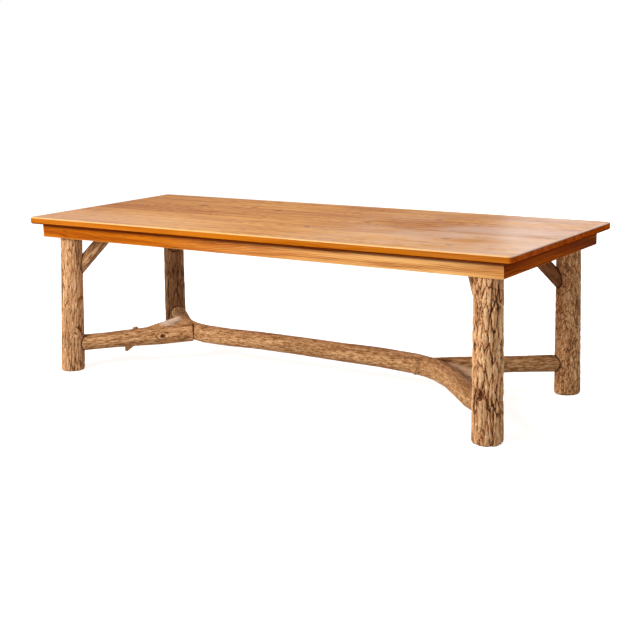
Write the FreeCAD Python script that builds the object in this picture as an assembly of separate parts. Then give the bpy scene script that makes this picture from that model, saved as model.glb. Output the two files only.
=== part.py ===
import FreeCAD, Part
import math
import os

# Farmhouse dining table: a plank top on mitred rails, carried by four bark-on log legs, four knee
# braces and a low stretcher made of a forked trunk and a knotty branch.
# Frame: origin on the floor under the middle of the top, +X along the length, +Y to the back, +Z up.
# All sizes are in millimetres and degrees.

V = FreeCAD.Vector
UP = V(0, 0, 1)

# Overall size
TABLE_LENGTH = 2540.0
TABLE_WIDTH = 1016.0
TABLE_HEIGHT = 762.0

# Fits: round pieces in round holes, coped ends against logs, flat pieces in glued grooves
ROUND_FIT = 0.2
COPE_FIT = 0.3
GLUE_ROOM = 0.5

# Plank top, edge glued over loose splines
PLANK_COUNT = 7
PLANK_THICKNESS = 32.0
TOP_EDGE_ROUND = 7.0
TOP_LOWER_EASE = 5.0
TOP_CORNER_ROUND = 18.0
SPLINE_THICKNESS = 6.0
SPLINE_WIDTH = 26.0
SPLINE_END_STOP = 90.0

# Rails under the edge of the top, mitred and keyed at the corners
RAIL_HEIGHT = 66.0
RAIL_THICKNESS = 25.0
RAIL_SETBACK_END = 50.0
RAIL_SETBACK_SIDE = 40.0
RAIL_EASE = 3.0
MITRE_KEY_THICKNESS = 4.0
MITRE_KEY_WIDTH = 18.0
MITRE_KEY_STOP = 14.0

# Cleats nailed across the planks
CLEAT_THICKNESS = 38.0
CENTRE_CLEAT_WIDTH = 110.0
CLEAT_MARGIN = 12.0
CLEAT_END_GAP = 2.0
CLEAT_NAIL_EDGE = 30.0

# Triangular glue blocks behind the rails
GLUE_BLOCK_SIDE = 24.0
GLUE_BLOCK_LENGTH = 90.0
END_BLOCKS = 3
END_BLOCK_LEG_GAP = 40.0
BLOCKS_PER_BAY = 2

# Square cut nails
NAIL_HEAD = 9.0
NAIL_HEAD_THICKNESS = 3.0
NAIL_SHANK = 5.5
NAIL_TIP = 3.0
NAIL_BITE = 20.0
NAIL_SINK = 8.0
NAIL_FIT = 0.1

# Log legs: tapered, leaning a little, flatted under the top to sit inside the rails
LEG_FOOT_DIAMETER = 118.0
LEG_HEAD_DIAMETER = 106.0
LEG_INSET_END = 145.0
LEG_INSET_SIDE = 108.0
LEG_FOOT_EASE = 7.0
LEG_RINGS = 4
LEG_TENON_DIAMETER = 60.0
WEDGE_DEPTH = 30.0
WEDGE_TOP_THICKNESS = 7.0
WEDGE_TIP_THICKNESS = 1.0

# Each leg as it grew: its sides in x and y, how far its head and its foot stand off the nominal place,
# what its girth adds to the nominal diameter, the turn of its oval, and the height of the limb in it
LEGS = {
    "front_left": dict(side=(-1, -1), head=(12, 12), foot=(-8, -18), girth=-3, turn=0.4, limb=129),
    "front_right": dict(side=(1, -1), head=(0, 0), foot=(10, -20), girth=5, turn=1.7, limb=138),
    "back_left": dict(side=(-1, 1), head=(-12, -10), foot=(-20, -22), girth=-5, turn=2.6, limb=142),
    "back_right": dict(side=(1, 1), head=(-6, -4), foot=(8, -15), girth=-4, turn=3.9, limb=137),
}

# Unevenness of every log: waves around it, their share of its radius, and how they drift along it
LOG_WAVES = ((2, 0.028, 1.0), (3, 0.018, -1.7), (7, 0.016, 2.3))
LOG_TWIST = 0.25
RING_POINTS = 16

# Knee braces, diagonal in plan: place along one from the leg with the diameter there, and its joints
BRACE_GIRTHS = ((0.0, 63.0), (0.35, 62.0), (0.7, 60.0), (1.0, 59.0))
BRACE_DROP = 226.0
BRACE_ANGLE = 47.0
BRACE_TENON_DIAMETER = 30.0
BRACE_NAIL_BACK = 20.0
BRACE_NAIL_DEPTH = 5.0

# Stretcher: a trunk from the back left leg that forks to both right legs, and a branch to the front left
CROTCH_LEFT_X = -705.0
CROTCH_RIGHT_X = 660.0
STRETCHER_HEIGHT = 151.0
TRUNK_CROWN = 5.0
TRUNK_BEND = 85.0
LIMB_STATION = 0.45
TRUNK_STATIONS = (0.30, 0.65)
TRUNK_STEPS = 2
TRUNK_TURN = 0.9
FORK_TURN = 2.2
BRANCH_TURN = 3.1
STUB_TURN = 0.7
LIMB_TENON_DIAMETER = 44.0
LIMB_TENON_PAST = 6.0
TENON_CORE = 60.0
MORTISE_END_ROOM = 0.8
SEAM_DOWEL_DIAMETER = 28.0
SEAM_DOWEL_LENGTH = 110.0

# Diameters of the trunk from the back left leg to the front right leg, at the stations of its axis
TRUNK_GIRTHS = (70.0, 76.0, 84.0, 87.0, 84.0, 87.0, 92.0, 93.0, 86.0, 89.0)

# Place along the fork's second limb and along the branch, from the leg, with the diameter there
FORK_GIRTHS = ((0.0, 79.0), (0.35, 75.0), (0.7, 79.0), (1.0, 76.0))
BRANCH_GIRTHS = ((0.0, 82.0), (0.28, 82.0), (0.5, 90.0), (0.72, 99.0), (1.0, 95.0))

# Sawn third limb in the crotch
CROTCH_STUB_DIAMETER = 70.0
CROTCH_STUB_END_DIAMETER = 67.0
CROTCH_STUB_LENGTH = 232.0
CROTCH_STUB_AIM = V(1, -0.05, -0.08)

# Stubs on the branch: place along it, lift of the root off its axis, direction, two diameters, length
DRY_STUB = dict(share=0.62, lift=24.0, aim=V(0.63, 0.705, 0.31), root=46.0, end=27.0, length=176.0)
BROKEN_SPUR = dict(share=0.50, lift=0.0, aim=V(-0.45, -0.30, -0.90), root=76.0, end=14.0, length=77.0)
KNUCKLE = dict(share=0.53, lift=0.0, aim=V(-0.10, -0.05, 1.00), root=50.0, end=24.0, length=54.0)

# Places worked out from the sizes above
TOP_UNDER = TABLE_HEIGHT - PLANK_THICKNESS
CLEAT_UNDER = TOP_UNDER - CLEAT_THICKNESS
RAIL_BOTTOM = TOP_UNDER - RAIL_HEIGHT
PLANK_WIDTH = TABLE_WIDTH / PLANK_COUNT
RAIL_OUTER_X = TABLE_LENGTH / 2 - RAIL_SETBACK_END
RAIL_OUTER_Y = TABLE_WIDTH / 2 - RAIL_SETBACK_SIDE
RAIL_INNER_X = RAIL_OUTER_X - RAIL_THICKNESS
RAIL_INNER_Y = RAIL_OUTER_Y - RAIL_THICKNESS
LEG_X = TABLE_LENGTH / 2 - LEG_INSET_END
LEG_Y = TABLE_WIDTH / 2 - LEG_INSET_SIDE
BRACE_HEIGHT = CLEAT_UNDER - BRACE_DROP
BRACE_SEAT_REACH = BRACE_GIRTHS[0][1] / 2 / math.sin(math.radians(BRACE_ANGLE))


def box(low, high):
    """Block between two corners."""
    size = high - low
    return Part.makeBox(size.x, size.y, size.z, low)


def rod(start, direction, length, diameter):
    """Round bar from a point along a direction."""
    return Part.makeCylinder(diameter / 2, length, start, direction)


def single(shape):
    """The one solid of a finished piece."""
    solids = shape.Solids
    if len(solids) != 1 or not solids[0].isValid():
        raise ValueError("a piece has to be one valid solid, and has %d" % len(solids))
    return solids[0]


def save(name, solids):
    """Write one piece, or a group of like pieces, under its name."""
    shape = solids[0] if len(solids) == 1 else Part.makeCompound(solids)
    shape.exportStep(os.path.join("parts", name + ".step"))


def log_ring(centre, along, reference, diameter, turn, grow):
    """Closed uneven outline of a log, square to its axis."""
    first = (reference - along * reference.dot(along)).normalize()
    second = along.cross(first)
    points = []
    for k in range(RING_POINTS):
        angle = 2 * math.pi * k / RING_POINTS
        uneven = sum(share * math.cos(waves * angle + drift * turn) for waves, share, drift in LOG_WAVES)
        radius = diameter / 2 * (1 + uneven) + grow
        points.append(centre + first * (radius * math.cos(angle)) + second * (radius * math.sin(angle)))
    return Part.makePolygon(points + [points[0]])


def tapered_log(start, end, girths, turn):
    """Straight log with a diameter at each share of its length."""
    points = [between(start, end, share) for share, _ in girths]
    return log_along(points, [diameter for _, diameter in girths], turn)


def log_along(points, diameters, turn, grow=0.0, steps=1):
    """Log through uneven outlines on a smooth line, with so many lengths between two points."""
    line = Part.BSplineCurve()
    line.interpolate(points)
    knots = [line.parameter(point) for point in points]
    rings = []
    for ring in range((len(points) - 1) * steps + 1):
        span = min(ring // steps, len(points) - 2)
        share = ring / steps - span
        place = knots[span] + (knots[span + 1] - knots[span]) * share
        diameter = diameters[span] + (diameters[span + 1] - diameters[span]) * share
        along = V(*line.tangent(place)[0])
        rings.append(log_ring(line.value(place), along, UP, diameter, turn + LOG_TWIST * ring / steps, grow))
    return Part.makeLoft(rings, True, True)


def between(start, end, share):
    """Point at a share of the way from start to end."""
    return start + (end - start) * share


def nail(head, direction, length, grow=0.0):
    """Square cut nail, or its hole with room above the head when grown."""
    wide = NAIL_HEAD / 2 + grow
    root = NAIL_SHANK / 2 + grow
    tip = NAIL_TIP / 2 + grow
    room = NAIL_SINK if grow else 0.0
    shank = Part.makeWedge(-root, 0, -root, -tip, -tip, root, length + grow, root, tip, tip)
    body = shank.fuse(box(V(-wide, -room, -wide), V(wide, NAIL_HEAD_THICKNESS, wide))).removeSplitter()
    body.Placement = FreeCAD.Placement(head, FreeCAD.Rotation(V(0, 1, 0), direction))
    return single(body)


def leg_point(name, height):
    """Point on a leg's axis, which leans from its head to its foot."""
    leg_data = LEGS[name]
    fall = 1 - height / CLEAT_UNDER
    drift = [head + (foot - head) * fall for head, foot in zip(leg_data["head"], leg_data["foot"])]
    side_x, side_y = leg_data["side"]
    return V(side_x * LEG_X + drift[0], side_y * LEG_Y + drift[1], height)


def leg_diameter(name, height):
    """Diameter of a leg at a height."""
    taper = (LEG_HEAD_DIAMETER - LEG_FOOT_DIAMETER) * height / CLEAT_UNDER
    return LEG_FOOT_DIAMETER + LEGS[name]["girth"] + taper


def leg_log(name, grow=0.0):
    """Bark surface of a leg as a solid from its eased foot to its shoulder."""
    turn = LEGS[name]["turn"]
    across = V(1, 0, 0)
    rings = [log_ring(leg_point(name, 0), UP, across, leg_diameter(name, 0) - 2 * LEG_FOOT_EASE, turn, grow)]
    for k in range(LEG_RINGS):
        height = LEG_FOOT_EASE + (CLEAT_UNDER - LEG_FOOT_EASE) * k / (LEG_RINGS - 1)
        place = leg_point(name, height)
        rings.append(log_ring(place, UP, across, leg_diameter(name, height), turn + LOG_TWIST * k, grow))
    return Part.makeLoft(rings, True, True)


def crotch_left():
    """Meeting point of the trunk and the branch."""
    return V(CROTCH_LEFT_X, 0, STRETCHER_HEIGHT)


def crotch_right():
    """Point where the trunk forks."""
    return V(CROTCH_RIGHT_X, 0, STRETCHER_HEIGHT)


def limb_root(name):
    """Point on a leg's axis where its limb is tenoned in."""
    return leg_point(name, LEGS[name]["limb"])


def limb_aim(name):
    """Direction in which a limb leaves its leg."""
    crotch = crotch_left() if LEGS[name]["side"][0] < 0 else crotch_right()
    return (crotch - limb_root(name)).normalize()


def limb_tenon(name, grow=0.0, room=0.0):
    """Round tenon of a limb, or its mortise when grown."""
    aim = limb_aim(name)
    start = limb_root(name) - aim * (LIMB_TENON_PAST + room)
    length = LIMB_TENON_PAST + room + LEG_FOOT_DIAMETER / 2 + TENON_CORE
    return rod(start, aim, length, LIMB_TENON_DIAMETER + 2 * grow)


def brace_aim(name):
    """Direction of a knee brace, inwards and up from its leg."""
    side_x, side_y = LEGS[name]["side"]
    level = math.cos(math.radians(BRACE_ANGLE)) / math.sqrt(2)
    return V(-side_x * level, -side_y * level, math.sin(math.radians(BRACE_ANGLE)))


def brace_seat(name):
    """Middle of a brace's sawn top under the end cleat."""
    length = BRACE_DROP / math.sin(math.radians(BRACE_ANGLE))
    return leg_point(name, BRACE_HEIGHT) + brace_aim(name) * length


def brace_tenon(name, grow=0.0, room=0.0):
    """Round tenon of a brace, or its mortise when grown."""
    aim = brace_aim(name)
    start = leg_point(name, BRACE_HEIGHT) - aim * room
    return rod(start, aim, room + LEG_FOOT_DIAMETER + TENON_CORE, BRACE_TENON_DIAMETER + 2 * grow)


def brace_nail(name, grow=0.0):
    """Nail square through a brace's top into the end cleat, or its hole when grown."""
    aim = brace_aim(name)
    square_up = (UP - aim * UP.dot(aim)).normalize()
    place = brace_seat(name) - aim * BRACE_NAIL_BACK
    below = BRACE_GIRTHS[-1][1] / 2 - BRACE_NAIL_DEPTH
    above = (BRACE_NAIL_BACK * UP.dot(aim) + NAIL_BITE) / UP.dot(square_up)
    return nail(place - square_up * below, square_up, below + above, grow)


def leg_tenon(name, grow=0.0):
    """Round tenon on a leg's head, as tall as the end cleat is thick."""
    return rod(leg_point(name, CLEAT_UNDER), UP, CLEAT_THICKNESS, LEG_TENON_DIAMETER + 2 * grow)


def leg_wedge(name):
    """Wedge that spreads a leg's tenon along the grain of its cleat."""
    top = leg_point(name, CLEAT_UNDER) + V(-LEG_TENON_DIAMETER, 0, CLEAT_THICKNESS)
    wide = V(0, WEDGE_TOP_THICKNESS / 2, 0)
    thin = V(0, WEDGE_TIP_THICKNESS / 2, -WEDGE_DEPTH)
    thin_other = V(0, -WEDGE_TIP_THICKNESS / 2, -WEDGE_DEPTH)
    outline = [top + wide, top - wide, top + thin_other, top + thin, top + wide]
    prism = Part.Face(Part.makePolygon(outline)).extrude(V(2 * LEG_TENON_DIAMETER, 0, 0))
    return single(prism.common(leg_tenon(name)))


def rail_notch(name):
    """Wood taken off a leg's head where the rails pass it."""
    side_x, side_y = LEGS[name]["side"]
    reach = LEG_FOOT_DIAMETER
    cuts = []
    for low, high in (((RAIL_INNER_X, 0), (RAIL_INNER_X + reach, RAIL_OUTER_Y + reach)),
                      ((0, RAIL_INNER_Y), (RAIL_OUTER_X + reach, RAIL_INNER_Y + reach))):
        x_pair = sorted((side_x * low[0], side_x * high[0]))
        y_pair = sorted((side_y * low[1], side_y * high[1]))
        cuts.append(box(V(x_pair[0], y_pair[0], RAIL_BOTTOM), V(x_pair[1], y_pair[1], TOP_UNDER)))
    return cuts


def leg(name):
    """One leg with its tenon, flats and mortises."""
    log = leg_log(name).cut(rail_notch(name)).fuse(leg_tenon(name))
    room = (ROUND_FIT, MORTISE_END_ROOM)
    mortises = [limb_tenon(name, *room), brace_tenon(name, *room)]
    return single(log.cut(mortises + [leg_wedge(name)]))


def brace(name):
    """One knee brace, coped and tenoned to its leg and sawn level under the cleat."""
    top = brace_seat(name) + brace_aim(name) * BRACE_SEAT_REACH * 2
    pole = tapered_log(leg_point(name, BRACE_HEIGHT), top, BRACE_GIRTHS, LEGS[name]["turn"])
    above = box(V(-TABLE_LENGTH, -TABLE_WIDTH, CLEAT_UNDER), V(TABLE_LENGTH, TABLE_WIDTH, 2 * TABLE_HEIGHT))
    pole = pole.cut([leg_log(name, COPE_FIT), above])
    pole = pole.fuse(brace_tenon(name).cut(above))
    return single(pole.cut(brace_nail(name, NAIL_FIT)))


def trunk_axis():
    """Stations of the trunk's axis, with one on each side of its two bends."""
    start = limb_root("back_left")
    end = limb_root("front_right")
    left = crotch_left()
    right = crotch_right()
    bend = V(TRUNK_BEND, 0, 0)
    axis = [start, between(start, left, LIMB_STATION)]
    axis += [left - limb_aim("back_left") * TRUNK_BEND, left + bend]
    axis += [between(left, right, share) + UP * TRUNK_CROWN for share in TRUNK_STATIONS]
    axis += [right - bend, right - limb_aim("front_right") * TRUNK_BEND]
    return axis + [between(end, right, LIMB_STATION), end]


def trunk_log(grow=0.0):
    """Main log of the trunk, from the back left leg along the middle to the front right leg."""
    return log_along(trunk_axis(), TRUNK_GIRTHS, TRUNK_TURN, grow, TRUNK_STEPS)


def fork_limb():
    """Second limb of the trunk's fork, from the crotch to the back right leg."""
    inside = crotch_right() + limb_aim("back_right") * TRUNK_BEND
    return tapered_log(limb_root("back_right"), inside, FORK_GIRTHS, FORK_TURN)


def crotch_stub():
    """Sawn-off third limb in the trunk's crotch."""
    start = crotch_right()
    end = start + CROTCH_STUB_AIM * CROTCH_STUB_LENGTH
    return log_along([start, end], [CROTCH_STUB_DIAMETER, CROTCH_STUB_END_DIAMETER], STUB_TURN)


def seam_dowel(grow=0.0):
    """Dowel across the seam between the branch and the trunk."""
    aim = limb_aim("front_left")
    start = crotch_left() - aim * (SEAM_DOWEL_LENGTH + grow)
    return rod(start, aim, SEAM_DOWEL_LENGTH + 2 * grow, SEAM_DOWEL_DIAMETER + 2 * grow)


def trunk():
    """Trunk with its fork, coped and tenoned to three legs."""
    ends = ("back_left", "front_right", "back_right")
    log = trunk_log().fuse([fork_limb(), crotch_stub()])
    log = log.cut([leg_log(name, COPE_FIT) for name in ends])
    log = log.fuse([limb_tenon(name) for name in ends])
    return single(log.cut(seam_dowel(ROUND_FIT)))


def branch_stub(stub):
    """Stub or spur that grows out of the branch."""
    start = between(limb_root("front_left"), crotch_left(), stub["share"]) + UP * stub["lift"]
    end = start + stub["aim"].normalize() * stub["length"]
    return log_along([start, end], [stub["root"], stub["end"]], STUB_TURN)


def branch():
    """Knotty branch from the front left leg, sawn and coped against the trunk."""
    log = tapered_log(limb_root("front_left"), crotch_left(), BRANCH_GIRTHS, BRANCH_TURN)
    log = log.fuse([branch_stub(stub) for stub in (DRY_STUB, BROKEN_SPUR, KNUCKLE)])
    log = log.cut([trunk_log(COPE_FIT), leg_log("front_left", COPE_FIT)])
    log = max(log.Solids, key=lambda solid: solid.Volume).fuse(limb_tenon("front_left"))
    return single(log.cut(seam_dowel(ROUND_FIT)))


def end_cleat_span():
    """Inner and outer edge of an end cleat, measured from the middle of the table."""
    seats = [abs(brace_seat(name).x) for name in LEGS]
    return min(seats) - BRACE_SEAT_REACH - CLEAT_MARGIN, RAIL_INNER_X


def cleat_blank(x_low, x_high):
    """Plain cleat under the planks between the long rails."""
    reach = RAIL_INNER_Y - CLEAT_END_GAP
    return box(V(x_low, -reach, CLEAT_UNDER), V(x_high, reach, TOP_UNDER))


def end_nail_line():
    """Distance of the end cleats' nails from the middle, between the braces and the legs."""
    seats = max(abs(brace_seat(name).x) for name in LEGS) + BRACE_SEAT_REACH
    return (seats + LEG_X - LEG_HEAD_DIAMETER / 2) / 2


def cleat_nails(grow=0.0):
    """Nails from the cleats into each plank."""
    reach = RAIL_INNER_Y - CLEAT_END_GAP - CLEAT_NAIL_EDGE
    nails = []
    for x in (-end_nail_line(), 0.0, end_nail_line()):
        for k in range(PLANK_COUNT):
            y = reach * (2 * k / (PLANK_COUNT - 1) - 1)
            nails.append(nail(V(x, y, CLEAT_UNDER), UP, CLEAT_THICKNESS + NAIL_BITE, grow))
    return nails


def end_cleat(side):
    """Wide cleat that takes the tenons of two legs and the seats of two braces."""
    inner, outer = end_cleat_span()
    low, high = sorted((side * inner, side * outer))
    names = [name for name in LEGS if LEGS[name]["side"][0] == side]
    holes = [leg_tenon(name, ROUND_FIT) for name in names] + [brace_nail(name, NAIL_FIT) for name in names]
    return single(cleat_blank(low, high).cut(holes + cleat_nails(NAIL_FIT)))


def centre_cleat():
    """Narrow cleat across the middle of the planks."""
    blank = cleat_blank(-CENTRE_CLEAT_WIDTH / 2, CENTRE_CLEAT_WIDTH / 2)
    return single(blank.cut(cleat_nails(NAIL_FIT)))


def glue_block(corner, inward, run):
    """Triangular block in the corner between a rail and what lies on it."""
    outline = [corner, corner + inward * GLUE_BLOCK_SIDE, corner - UP * GLUE_BLOCK_SIDE, corner]
    return Part.Face(Part.makePolygon(outline)).extrude(run * GLUE_BLOCK_LENGTH)


def end_blocks():
    """Glue blocks between the end rails and the end cleats."""
    reach = LEG_Y - LEG_FOOT_DIAMETER / 2 - END_BLOCK_LEG_GAP - GLUE_BLOCK_LENGTH / 2
    blocks = []
    for side in (-1, 1):
        for k in range(END_BLOCKS):
            y = reach * (2 * k / (END_BLOCKS - 1) - 1) - GLUE_BLOCK_LENGTH / 2
            blocks.append(glue_block(V(side * RAIL_INNER_X, y, CLEAT_UNDER), V(-side, 0, 0), V(0, 1, 0)))
    return blocks


def side_blocks():
    """Glue blocks between the long rails and the planks, in the bays between the cleats."""
    start = CENTRE_CLEAT_WIDTH / 2
    bay = end_cleat_span()[0] - start
    blocks = []
    for side_x in (-1, 1):
        for k in range(BLOCKS_PER_BAY):
            x = side_x * (start + bay * (k + 1) / (BLOCKS_PER_BAY + 1)) - GLUE_BLOCK_LENGTH / 2
            for side_y in (-1, 1):
                corner = V(x, side_y * RAIL_INNER_Y, TOP_UNDER)
                blocks.append(glue_block(corner, V(0, -side_y, 0), V(1, 0, 0)))
    return blocks


def mitre_key(side_x, side_y, room=0.0):
    """Key across a mitre of the rails, or its groove when given room."""
    half = MITRE_KEY_WIDTH / 2 + room
    low = V(-half, -MITRE_KEY_THICKNESS / 2, RAIL_BOTTOM + MITRE_KEY_STOP - room)
    key = box(low, V(half, MITRE_KEY_THICKNESS / 2, TOP_UNDER))
    key.rotate(V(0, 0, 0), UP, -45 * side_x * side_y)
    middle_x = (RAIL_OUTER_X + RAIL_INNER_X) / 2
    middle_y = (RAIL_OUTER_Y + RAIL_INNER_Y) / 2
    key.translate(V(side_x * middle_x, side_y * middle_y, 0))
    return key


def corner_points(corner):
    """Outer and inner corner of the rail frame, at the rails' lower edge."""
    outer = V(corner[0] * RAIL_OUTER_X, corner[1] * RAIL_OUTER_Y, RAIL_BOTTOM)
    inner = V(corner[0] * RAIL_INNER_X, corner[1] * RAIL_INNER_Y, RAIL_BOTTOM)
    return outer, inner


def rail(first, second):
    """Mitred rail between two corners, with its lower outer edge eased."""
    outer_a, inner_a = corner_points(first)
    outer_b, inner_b = corner_points(second)
    plan = Part.Face(Part.makePolygon([outer_a, outer_b, inner_b, inner_a, outer_a]))
    bar = plan.extrude(V(0, 0, RAIL_HEIGHT))
    middle = between(outer_a, outer_b, 0.5)
    lower_edge = [edge for edge in bar.Edges if edge.CenterOfMass.distanceToPoint(middle) < RAIL_EASE]
    bar = bar.makeFillet(RAIL_EASE, lower_edge)
    return single(bar.cut([mitre_key(corner[0], corner[1], GLUE_ROOM) for corner in (first, second)]))


def top_blank():
    """Whole top with rounded corners and eased edges, before it is divided into planks."""
    corner = V(TABLE_LENGTH / 2, TABLE_WIDTH / 2, TABLE_HEIGHT)
    blank = box(V(-corner.x, -corner.y, TOP_UNDER), corner)
    middle = TABLE_HEIGHT - PLANK_THICKNESS / 2
    uprights = [edge for edge in blank.Edges if abs(edge.CenterOfMass.z - middle) < TOP_EDGE_ROUND]
    blank = blank.makeFillet(TOP_CORNER_ROUND, uprights)
    rim = [edge for edge in blank.Edges if edge.CenterOfMass.z > TABLE_HEIGHT - TOP_EDGE_ROUND]
    blank = blank.makeFillet(TOP_EDGE_ROUND, rim)
    lower_rim = [edge for edge in blank.Edges if edge.CenterOfMass.z < TOP_UNDER + TOP_LOWER_EASE / 2]
    return blank.makeChamfer(TOP_LOWER_EASE, lower_rim)


def seam_spline(seam, room=0.0):
    """Loose spline in the seam behind a plank, or its groove when given room."""
    y = -TABLE_WIDTH / 2 + PLANK_WIDTH * seam
    x = TABLE_LENGTH / 2 - SPLINE_END_STOP + room
    half = SPLINE_WIDTH / 2 + room
    middle = TABLE_HEIGHT - PLANK_THICKNESS / 2
    low = V(-x, y - half, middle - SPLINE_THICKNESS / 2)
    return box(low, V(x, y + half, middle + SPLINE_THICKNESS / 2))


def planks():
    """Planks from front to back, grooved for the splines and holed for the nails from below."""
    blank = top_blank()
    cuts = [seam_spline(seam, GLUE_ROOM) for seam in range(1, PLANK_COUNT)]
    cuts += cleat_nails(NAIL_FIT)
    boards = []
    for k in range(PLANK_COUNT):
        y = -TABLE_WIDTH / 2 + PLANK_WIDTH * k
        strip = box(V(-TABLE_LENGTH, y, 0), V(TABLE_LENGTH, y + PLANK_WIDTH, 2 * TABLE_HEIGHT))
        boards.append(single(blank.common(strip).cut(cuts)))
    return boards


def main():
    """Build and write every piece."""
    os.makedirs("parts", exist_ok=True)
    for k, board in enumerate(planks()):
        save("top_plank_%d" % (k + 1), [board])
    save("plank_splines", [seam_spline(seam) for seam in range(1, PLANK_COUNT)])

    corners = ((-1, -1), (1, -1), (1, 1), (-1, 1))
    for k, side in enumerate(("front", "right", "back", "left")):
        save("rail_" + side, [rail(corners[k], corners[(k + 1) % 4])])
    save("mitre_keys", [mitre_key(side_x, side_y) for side_x, side_y in corners])
    save("end_cleat_left", [end_cleat(-1)])
    save("end_cleat_right", [end_cleat(1)])
    save("centre_cleat", [centre_cleat()])
    save("cleat_nails", cleat_nails())
    save("glue_blocks", end_blocks() + side_blocks())

    for name in LEGS:
        save("leg_" + name, [leg(name)])
        save("brace_" + name, [brace(name)])
    save("leg_wedges", [leg_wedge(name) for name in LEGS])
    save("brace_nails", [brace_nail(name) for name in LEGS])

    save("stretcher_trunk", [trunk()])
    save("stretcher_branch", [branch()])
    save("seam_dowel", [seam_dowel()])


main()
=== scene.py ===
import math

import bpy
import numpy as np
from mathutils import Matrix, Vector
from mathutils.bvhtree import BVHTree


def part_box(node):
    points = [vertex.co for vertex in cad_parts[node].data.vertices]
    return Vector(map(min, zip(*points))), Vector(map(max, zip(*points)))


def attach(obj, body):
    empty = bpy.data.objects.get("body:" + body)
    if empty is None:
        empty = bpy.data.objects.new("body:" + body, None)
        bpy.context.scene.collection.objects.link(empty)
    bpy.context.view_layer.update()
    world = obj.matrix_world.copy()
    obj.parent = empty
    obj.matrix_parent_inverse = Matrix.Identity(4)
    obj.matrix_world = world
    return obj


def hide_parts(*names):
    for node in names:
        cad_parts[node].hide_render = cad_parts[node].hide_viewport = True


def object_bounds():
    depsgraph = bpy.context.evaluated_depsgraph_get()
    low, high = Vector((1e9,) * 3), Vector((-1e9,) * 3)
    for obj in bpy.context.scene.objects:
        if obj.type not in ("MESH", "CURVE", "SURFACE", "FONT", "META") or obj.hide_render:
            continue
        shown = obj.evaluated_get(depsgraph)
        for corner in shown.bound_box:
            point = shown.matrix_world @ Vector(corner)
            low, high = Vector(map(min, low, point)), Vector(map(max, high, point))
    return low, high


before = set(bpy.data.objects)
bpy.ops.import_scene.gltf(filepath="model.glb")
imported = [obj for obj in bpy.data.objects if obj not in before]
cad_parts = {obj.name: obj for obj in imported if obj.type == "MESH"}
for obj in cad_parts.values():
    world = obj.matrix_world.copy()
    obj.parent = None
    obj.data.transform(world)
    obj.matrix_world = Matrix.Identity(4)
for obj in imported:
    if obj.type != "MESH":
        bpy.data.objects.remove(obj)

bl_info = {
    "name": "Farmhouse log table",
    "version": (1, 0, 0),
    "blender": (4, 5, 0),
    "location": "View3D > Sidebar > Log table",
    "description": "Dresses a plank table on bark-on log legs with a forked log stretcher",
    "category": "Object",
}

# Places are in metres: x along the table, y to its back, z up from the floor
CAD_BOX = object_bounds()
TOP_HALF_WIDTH = CAD_BOX[1].y
PLANKS = sorted(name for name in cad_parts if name.startswith("top_plank"))
PLANK_WIDTH = 2 * TOP_HALF_WIDTH / len(PLANKS)
PLANK_THICKNESS = 0.032
LONG_RAILS = ("rail_front", "rail_back")
END_RAILS = ("rail_left", "rail_right")
CROSS_PIECES = ("end_cleat_left", "end_cleat_right", "centre_cleat")
SMALL_WOOD = ("plank_splines", "mitre_keys", "glue_blocks", "leg_wedges", "seam_dowel")
NAILS = ("cleat_nails", "brace_nails")
CORNERS = ("front_left", "front_right", "back_left", "back_right")

# Depth of stain on each plank from the front, and the top's knots as x, y and half width
PLANK_TONES = (0.10, 0.10, 0.16, 0.34, 0.32, 0.20, 0.24)
TOP_KNOTS = (
    (-0.764, 0.204, 0.019), (-0.480, 0.248, 0.012), (-0.290, 0.192, 0.013), (0.140, -0.192, 0.011),
    (0.310, 0.038, 0.014), (0.560, 0.248, 0.012), (0.770, -0.032, 0.011), (0.850, -0.228, 0.014),
    (0.940, -0.372, 0.010),
)

# Waves per metre of a board's figure, along, across and through it
RING_DRIFT = (1.6, 9.0, 9.0)
SLOW_DRIFT = (0.9, 4.0, 4.0)
STREAKS = (1.7, 42.0, 42.0)
TICKS = (13.0, 120.0, 120.0)
PORES = (6.0, 260.0, 260.0)

# How far apart the figures of two boards lie, and how far the rings wander across and through a board
BOARD_STEP = (7.31, 1.37, 1.0)
RING_WANDER = 0.06
RING_DEPTH = 0.30

# Waves per metre of the rubbing on edges, and of the varnish bloom with painted sheen and the slanting scuffs
# on the top
RUBBING = (9.0, 9.0, 30.0)
BLOOM_AND_SHEEN_CLOUDS = (2.2, 5.5, 1.0)
SCUFFS = (7.0, 70.0, 1.0)
SCUFF_TURN = math.radians(12)

# Widths of worn edges, the top's rim also carrying a painted highlight, and where the painted shade under the
# top on a long rail starts and is full, below the rail's upper edge
TOP_WEAR_AND_HIGHLIGHT = 0.009
RAIL_WEAR = 0.006
OVERHANG_SHADE_START = 0.021
OVERHANG_SHADE_FULL = 0.010

# Depths of the fine grain, and roughness of the top's gloss and of the sawn wood
PLANK_GRAIN = 0.0005
RAIL_GRAIN = 0.0006
SAWN_GRAIN = 0.0008
NAIL_PITS = 0.0004
BARK_FIBRE = 0.002
COAT_ROUGHNESS = 0.27
SAWN_ROUGHNESS = 0.62

# Heights at which the limbs and the braces enter the legs, and the two meeting points of the stretcher
LIMB_HEIGHT = {"front_left": 0.129, "front_right": 0.138, "back_left": 0.142, "back_right": 0.137}
BRACE_HEIGHT = 0.466
TENON_TOP = 0.730
CROTCH_LEFT = Vector((-0.705, 0.0, 0.151))
CROTCH_RIGHT = Vector((0.660, 0.0, 0.151))
CROTCH_STUB_END = CROTCH_RIGHT + Vector((0.232, -0.012, -0.019))

# The branch's dry stub: where it aims, where it stands along the branch and above its axis, and its length
DRY_STUB_AIM = Vector((0.63, 0.705, 0.31)).normalized()
DRY_STUB_SHARE = 0.62
DRY_STUB_LIFT = 0.024
DRY_STUB_LENGTH = 0.176

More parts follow.
